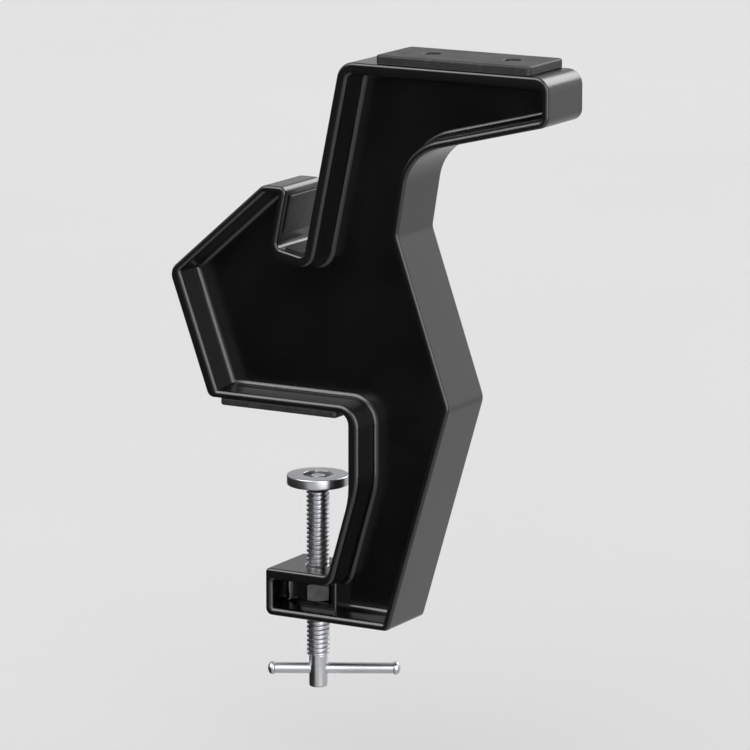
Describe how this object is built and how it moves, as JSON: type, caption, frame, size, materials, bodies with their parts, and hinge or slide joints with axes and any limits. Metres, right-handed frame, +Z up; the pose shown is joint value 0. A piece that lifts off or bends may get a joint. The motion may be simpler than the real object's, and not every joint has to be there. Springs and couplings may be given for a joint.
{
  "type": "snowboard tuning vise",
  "caption": "Bench-clamp vise that holds a snowboard on edge in a leaning padded slot or flat on a padded arm while its edges are tuned.",
  "frame": {"origin": "on the clamp screw's axis, in the plane of the bench top under the jaw pad", "axes": "+Z up along the clamp screw, +X away from the bench, +Y along the bench edge"},
  "size_m": [0.1832, 0.0351, 0.2811],
  "materials": {
    "cast_frame": "semi-gloss black powder coat",
    "pad_rubber": "matt dark grey rubber",
    "screw_steel": "dark zinc",
    "dark_steel": "blackened steel",
    "plated_steel": "bright zinc plate"
  },
  "bodies": {
    "frame": {"frame": "cast_frame", "arm_pad": "pad_rubber", "arm_pad_screws": "screw_steel", "jaw_pad": "pad_rubber", "jaw_pad_screws": "screw_steel", "column_strip": "pad_rubber", "slot_strip": "pad_rubber", "lip_strip": "pad_rubber", "hex_nut": "dark_steel"},
    "carriage": {"thrust_washer": "dark_steel"},
    "foot": {"swivel_foot": "plated_steel"},
    "screw": {"spindle": "plated_steel", "retaining_ring": "dark_steel"},
    "bar": {"tommy_bar": "plated_steel", "bar_cap_inner": "plated_steel", "bar_cap_outer": "plated_steel"}
  },
  "joints": [
    {"name": "screw_travel", "type": "slide", "parent": "frame", "child": "carriage", "axis": [0, 0, 1], "range_m": [-0.029, 0.021]},
    {"name": "screw_turn", "type": "hinge", "parent": "carriage", "child": "screw", "pos_m": [0, 0, 0], "axis": [0, 0, 1], "range_deg": [-5221, 3781]},
    {"name": "foot_tilt", "type": "hinge", "parent": "carriage", "child": "foot", "pos_m": [0, 0, -0.04091], "axis": [0, 1, 0], "range_deg": [-3, 3]},
    {"name": "bar_slide", "type": "slide", "parent": "screw", "child": "bar", "axis": [0.8746, 0.4848, 0], "range_m": [-0.0288, 0.015]}
  ],
  "couplings": [
    {"joint": "screw_turn", "follows": "screw_travel", "rad_per_m": 3141.6}
  ]
}
